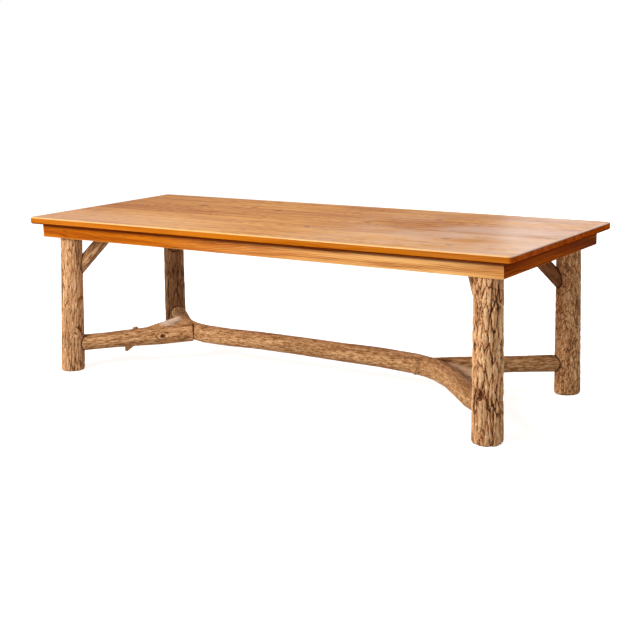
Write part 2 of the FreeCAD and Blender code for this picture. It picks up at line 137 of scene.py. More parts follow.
# Radii of the logs, and of their cores, which carry no bark
LEG_RADIUS = 0.057
BRACE_RADIUS = 0.031
TRUNK_RADIUS = 0.043
LIMB_RADIUS = {"front_left": 0.043, "front_right": 0.041, "back_left": 0.036, "back_right": 0.036}
CROTCH_STUB_RADIUS = 0.034
DRY_STUB_RADIUS = 0.018
LEG_CORE = 0.038
BRACE_CORE = 0.017
LIMB_CORE = 0.024
DRY_STUB_CORE = 0.012

# How far a point may lie off the level of a sawn foot or tenon, and off that of a brace's seat
LEVEL_SLACK = 0.001
SEAT_SLACK = 0.0005

# Bark shows where the skin faces out from the log's axis: where it starts, and over what share it grows
BARK_FACING = 0.25
FACING_WIDTH = 0.35
CORE_WIDTH = 0.2

# A bare stub loses its bark at this share of its length, and limbs blend over these shares of their radius
BARE_FROM = 0.36
BARE_WIDTH = 0.12
BLEND_WIDTH = 0.25
CREASE_WIDTH = 0.24

# Painted shade on the feet near the floor, and the dark line of painted shade where two pieces meet: how far
# it is looked for and how fast it fades
FOOT_SHADE = 0.0045
JOINT_MARGIN = 0.008
JOINT_SEARCH = 0.010
JOINT_FADE = 0.0035

# Relief of bark: rounds of softening, step between the barks of two logs, and waves per metre of the swell
SOFTENING = 16
LOG_STEP = (3.1, 5.7, 1.9)
SWELL_WAVES = 12.0

# Shares of the relief's height, the share of crumbs in its stain, the log's own level, and the depth of pits
PLATE_HEIGHT = 0.70
FLAKE_HEIGHT = 0.16
CRUMB_HEIGHT = 0.55
CRUMB_STAIN = 0.25
LOG_LEVEL = 0.30
PIT_DEPTH = 0.009

# Tones of a bark, and waves per metre of its patches, flecks and fibres
BARK_TONES = ("Ridge", "Body", "Shade", "Fissure", "Sawn", "Hollow")
PATCH_WAVES = 22.0
FLECK_WAVES = 190.0
FLECK_STRETCH = (1.0, 1.0, 2.0)
FIBRE_WAVES = 520.0

# Knots: middle on the bark, half width and half length, reach into the log, and waves of the ragged outline
LEG_HOLLOW = {"place": (1.130, -0.477, 0.205), "width": 0.009, "length": 0.024}
LEG_SWIRL = {"place": (-1.071, -0.446, 0.191), "width": 0.022, "length": 0.032}
BRANCH_HOLLOW = {"place": (-0.779, -0.141, 0.150), "width": 0.006, "length": 0.005}
BRANCH_SWIRL = {"place": (-0.779, -0.141, 0.150), "width": 0.026, "length": 0.020}
KNOT_REACH = 0.04
RAGGED_WAVES = ((0.08, (310, 170, 230)), (0.07, (-190, 350, 410)))
SWIRL_HEIGHT = 0.55
SWIRL_RINGS = 1.5
LEG_KNOTS = {"front_left": {"swirl": LEG_SWIRL}, "front_right": {"hollow": LEG_HOLLOW}}

# Finish of each log: the painted shade in its furrows, its tint, and how pale its ridges are, which is partly
# a painted highlight
LEG_FINISH = {
    "front_left": {"name": "ridged_bark", "shadow": 0.85, "tint": (1.12, 1.12, 1.12), "mottle": 0.6},
    "front_right": {"name": "furrowed_bark", "shadow": 1.0, "tint": (1.44, 1.35, 1.36), "mottle": 0.75},
    "back_left": {"name": "brown_bark", "shadow": 0.85, "tint": (0.56, 0.52, 0.48), "mottle": 0.7},
    # Painted light: the back right leg's bark is tinted paler for the light that falls on it
    "back_right": {"name": "pale_bark", "shadow": 0.75, "tint": (1.28, 1.22, 1.17), "mottle": 0.8},
}
BRACE_FINISH = {
    "front": {"name": "brace_bark", "shadow": 0.6, "tint": (0.98, 0.98, 0.96)},
    # Painted shade: the back braces are tinted dark brown for the shade they stand in
    "back": {"name": "brown_brace_bark", "shadow": 0.5, "tint": (0.42, 0.30, 0.22)},
}
TRUNK_FINISH = {"name": "trunk_bark", "shadow": 0.5, "tint": (0.92, 0.90, 0.82)}
BRANCH_FINISH = {"name": "branch_bark", "shadow": 0.6, "tint": (1.03, 1.01, 0.94)}

# Relief of each log: plates and furrows as shares of the settings, and how its bark winds and stretches
LEG_RELIEF = {
    "front_left": {"seed": 1.0, "depth": 0.34, "width": 0.26, "twist": 0.9, "stretch": 0.12},
    "front_right": {"seed": 2.0, "plate": 1.3, "depth": 1.1, "width": 0.29},
    "back_left": {"seed": 3.0, "depth": 0.34, "width": 0.26, "twist": 0.9, "stretch": 0.12},
    "back_right": {"seed": 4.0, "plate": 0.8, "depth": 0.34, "twist": 0.4, "stretch": 0.30},
}
BRACE_SEEDS = {"front_left": 31.0, "front_right": 32.0, "back_left": 33.0, "back_right": 34.0}
BRACE_RELIEF = {"plate": 0.55, "depth": 0.18, "swell": 0.0015, "stretch": 0.08}
TRUNK_RELIEF = {"seed": 21.0, "plate": 0.45, "depth": 0.14, "stretch": 0.09}
BRANCH_RELIEF = {"seed": 24.0, "plate": 0.5, "depth": 0.20, "swell": 0.005, "stretch": 0.10}

# Lamps, all aimed at the middle of the table, the floor with its glow where it is seen, and the film's width
LAMPS = {
    "key": {"place": (-1.7, -4.2, 2.8), "size": 1.6},
    "ceiling": {"place": (0.2, 0.2, 4.8), "size": 3.0},
    "window": {"place": (-0.6, 6.2, 1.9), "size": 2.6},
}
FLOOR_SIZE = 60
FLOOR_GLOW = 0.75
FILM_WIDTH = 36.0
WHITE = (1, 1, 1, 1)


def screen(red, green, blue):
    """Linear colour of a colour as it looks on a screen, from 0 to 255."""
    shares = [value / 255 for value in (red, green, blue)]
    return [s / 12.92 if s <= 0.04045 else ((s + 0.055) / 1.055) ** 2.4 for s in shares]


def colour_property(name, description, red, green, blue):
    """Colour setting with its default as it looks on a screen."""
    default = screen(red, green, blue)
    return bpy.props.FloatVectorProperty(
        name=name, description=description, default=default, size=3, min=0, max=1, subtype="COLOR"
    )


def number_property(name, description, default, **kind):
    """Number setting with its unit, subtype or limits."""
    return bpy.props.FloatProperty(name=name, description=description, default=default, **kind)


def length_property(name, description, default):
    """Length setting in metres."""
    return number_property(name, description, default, min=0, unit="LENGTH")


class LogTableBoards(bpy.types.PropertyGroup):
    """Finish of the planks, rails and hidden pieces."""

    pale: colour_property("Pale grain", "Stain over the soft early wood of the rails", 196, 110, 12)
    deep: colour_property("Deep grain", "Stain over the hard late wood of the rails", 148, 65, 2)
    top_pale: colour_property("Pale top", "Stain over the soft early wood of the planks", 232, 164, 76)
    top_deep: colour_property("Deep top", "Stain over the hard late wood of the planks", 160, 82, 12)
    knot: colour_property("Knots", "Small dark knots and streaks", 84, 42, 18)
    edge: colour_property("Edges", "Stain soaked into the ends of the planks and the end rails", 208, 88, 2)
    # Soaked wood is a dark stain in end grain and its streaks, and also painted shade on the top's downward
    # faces and on the rails just under it
    soaked_stain_and_shade: colour_property("Soaked wood", "Dark stain and grime along the underside of the top", 98, 32, 0)
    # The worn colour is real rubbed varnish, and also a painted highlight on the top's rim and painted light
    # along the long rails
    worn_and_lit: colour_property("Worn edges", "Wood where the varnish is rubbed thin", 246, 190, 118)
    # The haze colour is a dull bloom on the varnish and also a painted sheen, on the top and on the rim at its
    # ends
    bloom_and_sheen: colour_property("Haze", "Dull bloom on the varnish of the top", 224, 190, 170)
    bare: colour_property("Bare wood", "Unstained wood under the top", 205, 165, 116)
    steel: colour_property("Nail steel", "Dark steel of the cut nails", 74, 70, 66)
    rust: colour_property("Rust", "Rusty patches on the nails", 110, 62, 34)
    ring_width: length_property("Ring width", "Distance between growth rings", 0.0075)
    gloss: number_property("Roughness", "Roughness of the varnish", 0.30, min=0, max=1, subtype="FACTOR")


class LogTableBark(bpy.types.PropertyGroup):
    """Relief and tones of the bark."""

    # Ridge is a weathered pale crest, and on the raised plates also a painted highlight
    ridge: colour_property("Ridge", "Weathered crest of a bark plate", 238, 194, 148)
    body: colour_property("Body", "Main tone of the bark", 190, 138, 91)
    shade: colour_property("Shade", "Brown patches", 132, 86, 50)
    # Fissure is also painted shade in the furrows and at joints
    fissure: colour_property("Fissure", "Bottom of the furrows", 56, 27, 10)
    sawn: colour_property("Sawn wood", "Sawn ends and barkless stubs", 226, 204, 186)
    hollow: colour_property("Hollow", "Rotten wood in a hollow knot", 80, 42, 20)
    plate_width: length_property("Plate width", "Distance between two furrows on a leg", 0.0145)
    leg_voxel: length_property("Leg detail", "Size of the finest relief on a leg and the branch", 0.0020)
    limb_voxel: length_property("Limb detail", "Size of the finest relief on the trunk", 0.0036)
    brace_voxel: length_property("Brace detail", "Size of the finest relief on a brace", 0.0017)
    furrow_depth: length_property("Furrow depth", "Depth of the deepest furrows", 0.0092)


class LogTableStage(bpy.types.PropertyGroup):
    """Camera, lamps and floor."""

    eye: bpy.props.FloatVectorProperty(
        name="Camera", description="Place of the camera", default=(3.1339, -4.5207, 1.5182),
        subtype="XYZ", unit="LENGTH"
    )
    turn: number_property("Turn", "Camera's turn from straight on", math.radians(34.134), unit="ROTATION")
    tilt: number_property("Tilt", "Camera's tilt below the horizon", math.radians(12.626), unit="ROTATION")
    roll: number_property("Roll", "Camera's roll about its view", math.radians(-1.258), unit="ROTATION")
    lens: number_property("Lens", "Focal length", 67.79, unit="CAMERA")
    key_power: number_property("Key", "Power of the key lamp", 190, unit="POWER")
    ceiling_power: number_property("Ceiling", "Power of the lamp above the table", 70, unit="POWER")
    window_power: number_property("Window", "Power of the lamp behind the table", 60, unit="POWER")
    sky: number_property("Sky", "Strength of the light from all round", 0.36)
    floor: colour_property("Floor", "Pale studio floor", 240, 240, 240)


def only(obj):
    """Leave one object selected and active."""
    bpy.ops.object.select_all(action="DESELECT")
    obj.select_set(True)
    bpy.context.view_layer.objects.active = obj


def apply_modifier(obj, modifier):
    """Apply a modifier to the object's mesh."""
    only(obj)
    bpy.ops.object.modifier_apply(modifier=modifier.name)


def socket(sockets, name):
    """The socket of that name that is in use."""
    return next(item for item in sockets if item.name == name and item.enabled)


class Wiring:
    """Adds nodes to a tree and links them by name."""

    def __init__(self, tree):
        self.tree = tree

    def add(self, kind, settings=None, **inputs):
        """New node with its settings, and each input as a value or the output that feeds it."""
        node = self.tree.nodes.new(kind)
        for key, value in (settings or {}).items():
            setattr(node, key, value)
        for key, value in inputs.items():
            self.feed(socket(node.inputs, key.replace("_", " ")), value)
        return node

    def feed(self, target, value):
        """Link an output to an input, or set the input's value."""
        if isinstance(value, bpy.types.NodeSocket):
            self.tree.links.new(value, target)
        else:
            target.default_value = value

    def math(self, operation, first, second=0.0):
        """Result of a sum on one or two numbers."""
        node = self.add("ShaderNodeMath", {"operation": operation})
        self.feed(node.inputs[0], first)
        self.feed(node.inputs[1], second)
        return node.outputs[0]

    def plus(self, first, second):
        """One number added to another."""
        return self.math("ADD", first, second)

    def minus(self, first, second):
        """One number less another."""
        return self.math("SUBTRACT", first, second)

    def times(self, first, second):
        """One number times another."""
        return self.math("MULTIPLY", first, second)

    def most(self, first, second):
        """The larger of two numbers."""
        return self.math("MAXIMUM", first, second)

    def size(self, value):
        """A number without its sign."""
        return self.math("ABSOLUTE", value)

    def vector(self, operation, first, second=(0, 0, 0)):
        """Result of a sum on one or two vectors."""
        node = self.add("ShaderNodeVectorMath", {"operation": operation})
        self.feed(node.inputs[0], first)
        if operation == "SCALE":
            self.feed(node.inputs["Scale"], second)
        else:
            self.feed(node.inputs[1], second)
        return node.outputs["Value" if operation == "LENGTH" else "Vector"]

    def place(self):
        """Place of a point on the object."""
        return self.add("ShaderNodeTexCoord").outputs["Object"]

    def axes(self, vector):
        """The three numbers of a vector."""
        return self.add("ShaderNodeSeparateXYZ", Vector=vector).outputs

    def joined(self, x, y, z):
        """Vector of three numbers."""
        return self.add("ShaderNodeCombineXYZ", X=x, Y=y, Z=z).outputs[0]

    def noise_node(self, place, scale, detail=2.0, roughness=0.5):
        """Soft noise that puts out its value and its colour."""
        return self.add("ShaderNodeTexNoise", Vector=place, Scale=scale, Detail=detail, Roughness=roughness)

    def noise(self, *settings):
        """Value of a soft noise."""
        return self.noise_node(*settings).outputs[0]

    def drawn_noise(self, place, waves, *settings):
        """Value of a soft noise with its own waves along each axis."""
        return self.noise(self.vector("MULTIPLY", place, waves), 1.0, *settings)

    def smooth(self, value, low, high, bottom=0.0, top=1.0):
        """Smooth step of a value from one limit to another."""
        node = self.add("ShaderNodeMapRange", {"interpolation_type": "SMOOTHSTEP"})
        for target, number in zip(node.inputs[:5], (value, low, high, bottom, top)):
            self.feed(target, number)
        return node.outputs[0]

    def glaze(self, tone, colour, mask, strength=None):
        """Tone covered with a colour where the mask is, at full strength or a share of it."""
        share = mask if strength is None else self.times(mask, strength)
        node = self.add("ShaderNodeMix", {"data_type": "RGBA"}, Factor=share)
        for name, value in (("A", tone), ("B", colour)):
            is_plain = not isinstance(value, bpy.types.NodeSocket)
            self.feed(socket(node.inputs, name), (*value, 1.0) if is_plain else value)
        return socket(node.outputs, "Result")


def new_group(name, kind, inputs, outputs):
    """Node group with its sockets: the group, its wiring, and its input and output nodes."""
    tree = bpy.data.node_groups.new(name, kind)
    for label, socket_type in inputs:
        tree.interface.new_socket(label, in_out="INPUT", socket_type=socket_type)
    for label, socket_type in outputs:
        tree.interface.new_socket(label, in_out="OUTPUT", socket_type=socket_type)
    given = tree.nodes.new("NodeGroupInput").outputs
    result = tree.nodes.new("NodeGroupOutput").inputs
    return tree, Wiring(tree), given, result


def board_figure_group():
    """Growth rings, streaks and pores of a board, from a place given along, across and through it."""
    inputs = [("Place", "NodeSocketVector"), ("Seed", "NodeSocketFloat"), ("Ring width", "NodeSocketFloat")]
    outputs = [(label, "NodeSocketFloat") for label in ("Figure", "Pores", "Patches", "Flecks")]
    tree, wire, given, result = new_group("Board figure", "ShaderNodeTree", inputs, outputs)
    place = wire.vector("ADD", given["Place"], wire.vector("SCALE", BOARD_STEP, given["Seed"]))
    drift = wire.drawn_noise(place, RING_DRIFT, 3.0)
    slow = wire.drawn_noise(place, SLOW_DRIFT, 2.0)

    own = wire.axes(given["Place"])
    across = wire.plus(own[1], wire.times(wire.minus(drift, 0.5), RING_WANDER))
    through = wire.plus(own[2], wire.times(wire.minus(slow, 0.35), RING_DEPTH))
    radius = wire.math("SQRT", wire.plus(wire.times(across, across), wire.times(through, through)))
    tooth = wire.math("FRACT", wire.math("DIVIDE", radius, given["Ring width"]))
    rings = wire.times(wire.smooth(tooth, 0.2, 0.85), wire.smooth(tooth, 1.0, 0.88))
    streaks = wire.drawn_noise(place, STREAKS, 5.0, 0.68)
    ticks = wire.drawn_noise(place, TICKS, 2.0, 0.6)
    pores = wire.drawn_noise(place, PORES, 3.0, 0.6)
    figure = wire.plus(wire.times(rings, 0.45), wire.smooth(streaks, 0.34, 0.70))
    wire.feed(result["Figure"], wire.times(figure, 0.72))
    wire.feed(result["Pores"], wire.smooth(pores, 0.45, 0.66))
    wire.feed(result["Patches"], wire.smooth(slow, 0.30, 0.70))
    wire.feed(result["Flecks"], wire.smooth(ticks, 0.56, 0.74))
    return tree


def edge_wear_group():
    """How near a place on a box lies to one of its edges, broken up by rubbing."""
    inputs = [(label, "NodeSocketVector") for label in ("Place", "Middle", "Half size")]
    inputs.append(("Width", "NodeSocketFloat"))
    outputs = [("Wear", "NodeSocketFloat")]
    tree, wire, given, result = new_group("Edge wear", "ShaderNodeTree", inputs, outputs)
    away = wire.vector("ABSOLUTE", wire.vector("SUBTRACT", given["Place"], given["Middle"]))
    inside = wire.axes(wire.vector("SUBTRACT", given["Half size"], away))
    faces = [wire.smooth(distance, given["Width"], 0.0) for distance in inside]
    near = wire.minus(wire.plus(faces[0], wire.plus(faces[1], faces[2])), 1.0)
    rub = wire.drawn_noise(given["Place"], RUBBING, 4.0, 0.65)
    wire.feed(result["Wear"], wire.times(wire.smooth(near, 0.05, 0.8), wire.smooth(rub, 0.36, 0.60)))
    return tree


def bark_relief_group():
    """Geometry nodes that round a log, cut furrows into its bark and keep their height as an attribute."""
    numbers = ("Plate width", "Furrow depth", "Furrow width", "Swell", "Seed")
    inputs = [("Geometry", "NodeSocketGeometry")] + [(label, "NodeSocketFloat") for label in numbers]
    outputs = [("Geometry", "NodeSocketGeometry")]
    tree, wire, given, result = new_group("Bark relief", "GeometryNodeTree", inputs, outputs)

    def attribute(name, kind="FLOAT"):
        node = wire.add("GeometryNodeInputNamedAttribute", {"data_type": kind}, Name=name)
        return socket(node.outputs, "Attribute")

    def blurred(value, weight):
        node = wire.add("GeometryNodeBlurAttribute", {"data_type": "FLOAT_VECTOR"}, Iterations=SOFTENING,
                        Weight=weight, Value=value)
        return socket(node.outputs, "Value")

    bark = attribute("bark")
    place = wire.add("GeometryNodeInputPosition").outputs[0]
    soft = blurred(place, bark)
    shrunk = wire.vector("SUBTRACT", place, soft)
    rounded = wire.add("GeometryNodeSetPosition", Geometry=given["Geometry"],
                       Position=wire.vector("ADD", soft, blurred(shrunk, bark)))

    apart = wire.vector("SCALE", LOG_STEP, given["Seed"])
    grain = wire.vector("ADD", attribute("grain", "FLOAT_VECTOR"), apart)
    finer = wire.math("DIVIDE", 1.0, given["Plate width"])
    bend = wire.noise_node(grain, wire.times(finer, 0.9), 4.0, 0.68).outputs[1]
    bend = wire.vector("SUBTRACT", bend, (0.5, 0.5, 0.5))
    bend = wire.vector("SCALE", bend, wire.times(given["Plate width"], 1.25))
    bent = wire.vector("ADD", grain, bend)
    gape = wire.smooth(wire.noise(grain, wire.times(finer, 0.5), 1.0), 0.34, 0.66)
    edges = wire.add("ShaderNodeTexVoronoi", {"feature": "DISTANCE_TO_EDGE"}, Vector=bent, Scale=finer,
                     Randomness=1.0).outputs["Distance"]
    width = wire.times(wire.plus(wire.times(gape, 0.45), 0.30), given["Furrow width"])
    plate = wire.plus(wire.times(wire.smooth(edges, 0.0, width), 0.6),
                      wire.times(wire.smooth(edges, -0.2, 0.5), 0.45))
    strand = wire.size(wire.minus(wire.noise(bent, wire.times(finer, 0.8), 2.0, 0.45), 0.5))
    strand = wire.smooth(strand, 0.0, wire.times(width, 0.35))
    plates = wire.add("ShaderNodeTexVoronoi", Vector=bent, Scale=finer, Randomness=1.0)
    flake = wire.add("FunctionNodeSeparateColor", Color=plates.outputs["Color"]).outputs[0]
    crumbs = wire.minus(wire.noise(bent, wire.times(finer, 2.6), 4.0, 0.65), 0.40)
    swell = wire.minus(wire.noise(grain, SWELL_WAVES), 0.5)

    strand = wire.plus(wire.times(strand, 0.55), 0.45)
    height = wire.times(wire.times(plate, strand), PLATE_HEIGHT)
    height = wire.plus(height, wire.times(flake, FLAKE_HEIGHT))
    height = wire.plus(height, attribute("swirl"))
    stain = wire.plus(height, wire.times(crumbs, CRUMB_STAIN))
    height = wire.plus(height, wire.times(crumbs, CRUMB_HEIGHT))
    depth = wire.times(given["Furrow depth"], attribute("furrow"))
    cut = wire.times(wire.minus(height, LOG_LEVEL), depth)
    cut = wire.times(wire.plus(cut, wire.times(swell, given["Swell"])), bark)
    for pit in ("hollow", "crease"):
        cut = wire.minus(cut, wire.times(attribute(pit), PIT_DEPTH))
    shift = wire.vector("SCALE", wire.add("GeometryNodeInputNormal").outputs[0], cut)
    kept = wire.add("GeometryNodeStoreNamedAttribute", {"data_type": "FLOAT", "domain": "POINT"},
                    Geometry=rounded.outputs[0], Name="relief", Value=stain)
    moved = wire.add("GeometryNodeSetPosition", Geometry=kept.outputs[0], Offset=shift)
    wire.feed(result["Geometry"], moved.outputs[0])
    return tree


def bark_tone_group():
    """Colour and fine grain of bark from the height of its relief, with painted shade in the furrows and
    joints and a partly painted highlight on the ridges.
    """
    colours = [(label, "NodeSocketColor") for label in BARK_TONES]
    inputs = [("Shadow", "NodeSocketFloat"), ("Mottle", "NodeSocketFloat")] + colours
    outputs = [("Color", "NodeSocketColor"), ("Height", "NodeSocketFloat"), ("Roughness", "NodeSocketFloat")]
    tree, wire, given, result = new_group("Bark tone", "ShaderNodeTree", inputs, outputs)

    def attribute(name, output="Fac"):
        return wire.add("ShaderNodeAttribute", {"attribute_name": name}).outputs[output]

    relief = attribute("relief")
    grain = attribute("grain", "Vector")
    patches = wire.noise(grain, PATCH_WAVES, 3.0)
    fleck = wire.noise(wire.vector("MULTIPLY", grain, FLECK_STRETCH), FLECK_WAVES, 3.0, 0.65)
    fibre = wire.noise(grain, FIBRE_WAVES, 2.0)
    # Partly painted highlight: raised plates pale towards the ridge colour
    tone = wire.glaze(given["Body"], given["Ridge"], wire.smooth(relief, 0.35, 0.95), given["Mottle"])
    tone = wire.glaze(tone, given["Shade"], wire.smooth(patches, 0.42, 0.66), 0.5)
    tone = wire.glaze(tone, given["Ridge"], wire.smooth(fleck, 0.54, 0.66), 0.75)
    tone = wire.glaze(tone, given["Shade"], wire.smooth(fleck, 0.46, 0.32), 0.60)
    # Painted shade in the furrows, as strong as the Shadow setting
    deep = wire.times(wire.smooth(relief, 0.43, 0.13), given["Shadow"])
    tone = wire.glaze(tone, given["Fissure"], deep, attribute("furrow"))
    tone = wire.glaze(tone, given["Hollow"], wire.smooth(attribute("hollow"), 0.05, 0.35))
    pale = wire.glaze(given["Sawn"], given["Shade"], wire.smooth(fibre, 0.48, 0.72), 0.8)
    tone = wire.glaze(tone, pale, attribute("sawn"))
    # Painted shade where the log meets the floor or another piece, and in the crease between two forks
    joint_shade = wire.most(attribute("contact"), attribute("crease"))
    wire.feed(result["Color"], wire.glaze(tone, given["Fissure"], joint_shade, 0.92))
    wire.feed(result["Height"], wire.plus(fleck, wire.times(fibre, 0.7)))
    wire.feed(result["Roughness"], wire.smooth(relief, 0.0, 1.0, 0.95, 0.72))
    return tree


def group_of(name, make):
    """Node group of that name, made the first time."""
    return bpy.data.node_groups.get(name) or make()


def cleared(owner):
    """Wiring of a material or a world whose nodes are taken out."""
    owner.use_nodes = True
    owner.node_tree.nodes.clear()
    return Wiring(owner.node_tree)


def new_material(name):
    """Empty material: its wiring and its Principled shader."""
    material = bpy.data.materials.new(name)
    wire = cleared(material)
    shader = wire.add("ShaderNodeBsdfPrincipled")
    wire.add("ShaderNodeOutputMaterial", Surface=shader.outputs[0])
    return material, wire, shader


def add_bump(wire, shader, height, strength, depth):
    """Let the light show a fine relief."""
    bump = wire.add("ShaderNodeBump", Height=height, Strength=strength, Distance=depth)
    wire.feed(shader.inputs["Normal"], bump.outputs[0])


def dress(names, material):
    """Give CAD nodes their material."""
    for name in names:
        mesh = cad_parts[name].data
        mesh.materials.clear()
        mesh.materials.append(material)


def board_figure(wire, place, seed, ring_width):
    """Figure of a board placed in a material."""
    node = wire.add("ShaderNodeGroup", {"node_tree": group_of("Board figure", board_figure_group)})
    wire.feed(node.inputs["Place"], place)
    wire.feed(node.inputs["Seed"], seed)
    node.inputs["Ring width"].default_value = ring_width
    return node.outputs


def edge_wear(wire, place, low, high, width):
    """Wear along the edges of a box placed in a material."""
    node = wire.add("ShaderNodeGroup", {"node_tree": group_of("Edge wear", edge_wear_group)})
    wire.feed(node.inputs["Place"], place)
    node.inputs["Middle"].default_value = (low + high) / 2
    node.inputs["Half size"].default_value = (high - low) / 2
    node.inputs["Width"].default_value = width
    return node.outputs["Wear"]


def finish_wood(wire, shader, figure, tone, gloss, sheen, grain_depth):
    """Feed the tone, the roughness and the grain of a board to its shader."""
    wire.feed(shader.inputs["Base Color"], tone)
    wire.feed(shader.inputs["Roughness"], wire.smooth(figure["Pores"], 0.0, 1.0, gloss, gloss + 0.15))
    grain = wire.minus(figure["Figure"], wire.times(figure["Pores"], 0.8))
    add_bump(wire, shader, grain, 0.35, grain_depth)
    shader.inputs["Specular IOR Level"].default_value = sheen


def plank_depth(wire, row):
    """Depth of stain of the plank in a row."""
    ramp = wire.add("ShaderNodeValToRGB", Fac=wire.math("DIVIDE", row, len(PLANKS)))
    stops = ramp.color_ramp.elements
    ramp.color_ramp.interpolation = "CONSTANT"
    for number, share in enumerate(PLANK_TONES):
        stop = stops.new(number / len(PLANKS)) if number else stops[0]
        stop.color = (share, share, share, 1.0)
    stops.remove(stops[-1])
    return ramp.outputs["Color"]


def top_bloom_sheen_and_scuffs(wire, boards, tone, place):
    """Tone of the top with a darker left end, and varnish bloom with painted sheen on the left front and
    toward the right end, where slanting scuffs take the same colour.
    """
    along, across, _ = wire.axes(place)
    toward_right_end = wire.smooth(along, -0.15, 1.05)
    # Painted sheen with varnish bloom: pale clouds growing toward the right end, and a patch on the left front
    bloom_and_sheen = wire.times(wire.smooth(wire.drawn_noise(place, BLOOM_AND_SHEEN_CLOUDS, 3.0), 0.36, 0.66), toward_right_end)
    bloom_and_sheen = wire.times(bloom_and_sheen, wire.smooth(across, -0.1, 0.3, 0.62, 0.32))
    left_front_bloom_and_sheen = wire.times(wire.smooth(along, 0.3, -0.9), wire.smooth(across, 0.0, -0.42))
    tone = wire.glaze(tone, boards.top_deep, wire.smooth(along, -0.3, -1.3, 0.0, 0.28))
    tone = wire.glaze(tone, boards.bloom_and_sheen, wire.most(bloom_and_sheen, wire.times(left_front_bloom_and_sheen, 0.28)))
    slanting = wire.add("ShaderNodeVectorRotate", {"rotation_type": "Z_AXIS"}, Vector=place, Angle=SCUFF_TURN)
    scuffs = wire.smooth(wire.drawn_noise(slanting.outputs[0], SCUFFS, 3.0, 0.6), 0.57, 0.68)
    return wire.glaze(tone, boards.bloom_and_sheen, wire.times(scuffs, toward_right_end), 0.45)


def plank_wood(boards):
    """Varnished planks, each with its own tone, with knots, stained sides, end grain, painted shade on their
    downward faces and a rim that is partly worn and partly a painted highlight.
    """
    material, wire, shader = new_material("varnished_planks")
    place = wire.place()
    axes = wire.axes(place)
    row = wire.math("DIVIDE", wire.plus(axes[1], TOP_HALF_WIDTH), PLANK_WIDTH)
    offset = wire.minus(wire.math("FRACT", row), 0.5)
    board = wire.joined(axes[0], wire.times(offset, PLANK_WIDTH), axes[2])
    figure = board_figure(wire, board, wire.math("FLOOR", row), boards.ring_width)
    share = wire.plus(wire.times(figure["Figure"], 0.75), wire.times(figure["Patches"], 0.25))
    share = wire.plus(share, plank_depth(wire, row))
    tone = wire.glaze(boards.top_pale, boards.top_deep, wire.smooth(share, 0.1, 1.25))
    tone = wire.glaze(tone, boards.knot, figure["Flecks"], 0.5)
    tone = wire.glaze(tone, boards.knot, wire.smooth(wire.size(offset), 0.492, 0.4985), 0.45)
    for x, y, half_width in TOP_KNOTS:
        away = wire.vector("SUBTRACT", place, (x, y, 0))
        away = wire.vector("MULTIPLY", away, (0.5 / half_width, 1.0 / half_width, 0.0))
        tone = wire.glaze(tone, boards.knot, wire.smooth(wire.vector("LENGTH", away), 1.25, 0.4), 0.9)
    tone = top_bloom_sheen_and_scuffs(wire, boards, tone, place)

    facing = wire.axes(wire.add("ShaderNodeNewGeometry").outputs["Normal"])
    ends = wire.smooth(wire.size(facing[0]), 0.3, 0.7)
    stained = wire.glaze(boards.pale, boards.deep, wire.smooth(share, 0.25, 1.4))
    end_grain = wire.glaze(boards.edge, boards.soaked_stain_and_shade, wire.smooth(figure["Figure"], 0.15, 0.75, 0.0, 0.55))
    sides = wire.times(wire.smooth(facing[2], 0.8, 0.35), wire.smooth(figure["Figure"], 0.0, 1.0, 0.92, 1.0))
    tone = wire.glaze(tone, wire.glaze(stained, end_grain, ends), sides)
    # Painted shade: the faces of the top that look down, such as its lower chamfer, take the soaked colour
    lower = wire.times(wire.smooth(facing[2], -0.1, -0.5), wire.smooth(facing[2], -0.98, -0.9))
    tone = wire.glaze(tone, boards.soaked_stain_and_shade, lower)
    # Painted highlight with some real wear: the rounded upper rim takes the pale worn colour, and on the ends
    # the haze colour, broken up by rubbing
    rim = wire.times(wire.smooth(facing[2], 0.2, 0.5), wire.smooth(facing[2], 0.995, 0.93))
    underside = CAD_BOX[0] + Vector((0, 0, CAD_BOX[1].z - PLANK_THICKNESS))
    wear_and_highlight = edge_wear(wire, place, underside, CAD_BOX[1], TOP_WEAR_AND_HIGHLIGHT)
    wear_and_highlight = wire.times(rim, wire.smooth(wear_and_highlight, 0.0, 1.0, 0.8, 1.0))
    tone = wire.glaze(tone, wire.glaze(boards.worn_and_lit, boards.bloom_and_sheen, ends), wear_and_highlight)
    varnish = wire.smooth(figure["Pores"], 0.0, 1.0, 0.26, 0.18)
    varnish = wire.times(wire.smooth(facing[2], 0.3, 0.95), varnish)
    wire.feed(shader.inputs["Coat Weight"], wire.most(rim, varnish))
    shader.inputs["Coat Roughness"].default_value = COAT_ROUGHNESS
    finish_wood(wire, shader, figure, tone, boards.gloss, 0.0, PLANK_GRAIN)
    return material


def folded_box(node, length_axis):
    """Box that a rail and its opposite share once their places have lost their signs."""
    corners = [[abs(value) for value in corner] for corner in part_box(node)]
    low = Vector([min(pair) for pair in zip(*corners)])
    high = Vector([max(pair) for pair in zip(*corners)])
    low[length_axis] = -high[length_axis]
    return low, high


